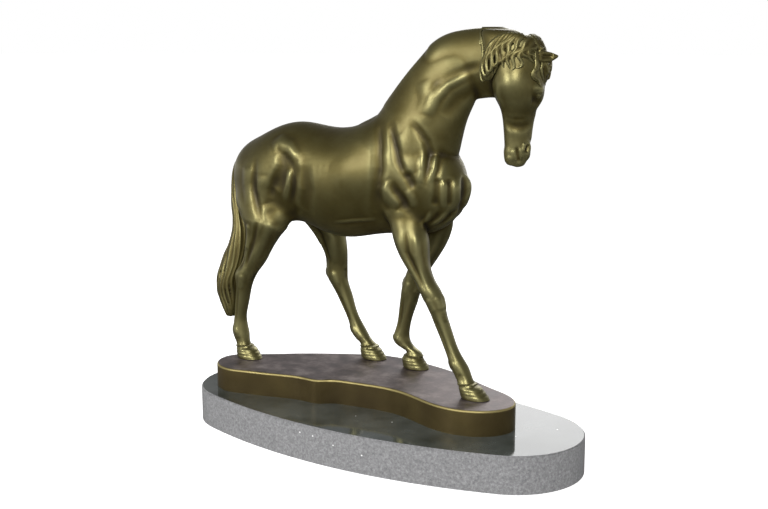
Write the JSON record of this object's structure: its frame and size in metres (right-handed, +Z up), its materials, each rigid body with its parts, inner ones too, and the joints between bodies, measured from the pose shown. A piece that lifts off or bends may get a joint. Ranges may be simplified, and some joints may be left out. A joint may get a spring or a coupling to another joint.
{
  "type": "bronze horse statuette",
  "caption": "Cast-bronze walking horse on a wavy bronze ground plinth bolted to an oval polished stone slab; desk or mantel ornament.",
  "frame": {"origin": "middle of the oval slab's footprint, on the surface that the felt pads stand on", "axes": "+X the way the horse walks, along the slab's long axis; +Y to the horse's left; +Z up"},
  "size_m": [0.42, 0.182, 0.3995],
  "materials": {
    "bronze": "satin",
    "plinth_bronze": "satin",
    "stone": "polished",
    "fastener_steel": "satin",
    "felt": "matte"
  },
  "bodies": {
    "root": {"stone_base": "stone", "felt_pads": "felt", "ground_plinth": "plinth_bronze", "plinth_bolts": "fastener_steel", "plinth_washers": "fastener_steel", "hoof_studs": "fastener_steel", "hoof_nuts": "fastener_steel", "front_right_leg": "bronze", "front_left_leg": "bronze", "hind_right_leg": "bronze", "hind_left_leg": "bronze", "torso": "bronze", "neck": "bronze", "head": "bronze", "right_ear": "bronze", "left_ear": "bronze", "forelock": "bronze", "mane": "bronze", "tail": "bronze"}
  },
  "joints": []
}
